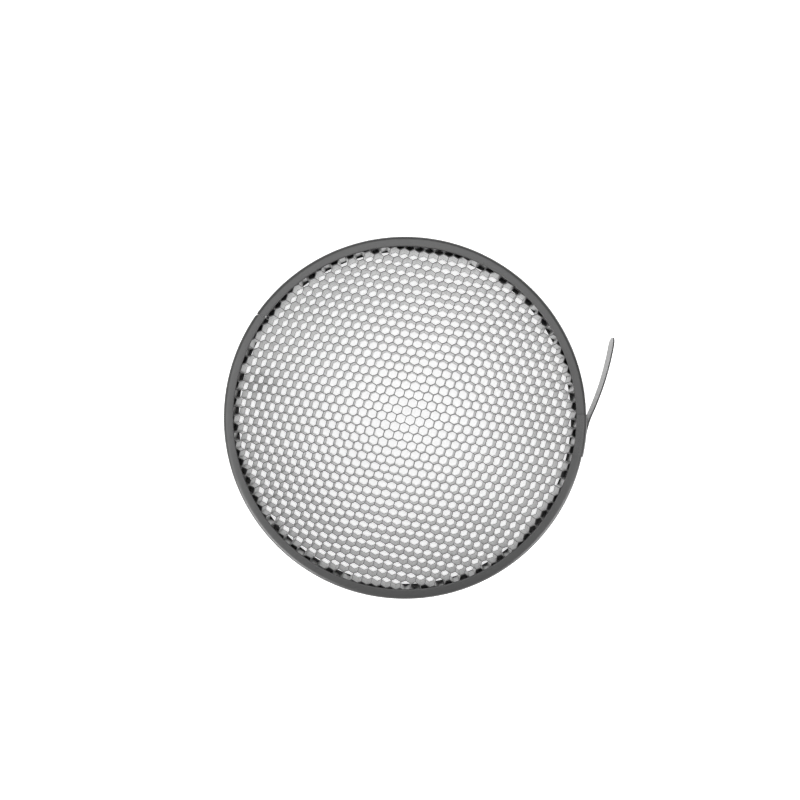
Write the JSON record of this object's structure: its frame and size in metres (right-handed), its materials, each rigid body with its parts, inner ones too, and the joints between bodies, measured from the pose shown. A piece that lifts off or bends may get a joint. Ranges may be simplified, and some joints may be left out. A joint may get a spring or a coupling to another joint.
{
  "type": "honeycomb grid",
  "caption": "Round aluminium honeycomb grid in a dark rolled channel rim, with a sprung leaf at its side, which narrows the beam of a studio flash reflector.",
  "frame": {"origin": "on the ring's axis, in the plane that the rear rim rests on", "axes": "+Z along the beam, out of the front face; +X towards the side that carries the spring leaf; the part lies flat on its rear rim"},
  "size_m": [0.1918, 0.1774, 0.0154],
  "materials": {
    "rim": "satin",
    "clip": "satin",
    "foil": "bright rolled foil",
    "plate": "mill",
    "rivet": "satin"
  },
  "bodies": {
    "frame": {"clip_rivets": "rivet", "foil_ribbons_01": "foil", "foil_ribbons_02": "foil", "foil_ribbons_03": "foil", "foil_ribbons_04": "foil", "foil_ribbons_05": "foil", "foil_ribbons_06": "foil", "foil_ribbons_07": "foil", "foil_ribbons_08": "foil", "foil_ribbons_09": "foil", "foil_ribbons_10": "foil", "foil_ribbons_11": "foil", "foil_ribbons_12": "foil", "foil_ribbons_13": "foil", "foil_ribbons_14": "foil", "foil_ribbons_15": "foil", "foil_ribbons_16": "foil", "foil_ribbons_17": "foil", "foil_ribbons_18": "foil", "foil_ribbons_19": "foil", "foil_ribbons_20": "foil", "foil_ribbons_21": "foil", "foil_ribbons_22": "foil", "foil_ribbons_23": "foil", "foil_ribbons_24": "foil", "foil_ribbons_25": "foil", "foil_ribbons_26": "foil", "foil_ribbons_27": "foil", "foil_ribbons_28": "foil", "foil_ribbons_29": "foil", "foil_ribbons_30": "foil", "foil_ribbons_31": "foil", "foil_ribbons_32": "foil", "foil_ribbons_33": "foil", "foil_ribbons_34": "foil", "foil_ribbons_35": "foil", "foil_ribbons_36": "foil", "rim_channel": "rim", "splice_plate": "plate", "splice_rivets": "rivet", "spring_clip": "clip"},
    "spring": {"leaf_tongue": "clip"}
  },
  "joints": [
    {"name": "leaf_flex", "type": "hinge", "parent": "frame", "child": "spring", "pos_m": [0.09177, 0.00198, 0.00747], "axis": [0, 0, 1], "range_deg": [-10, 32], "stiffness_Nm_per_rad": 1.2}
  ]
}
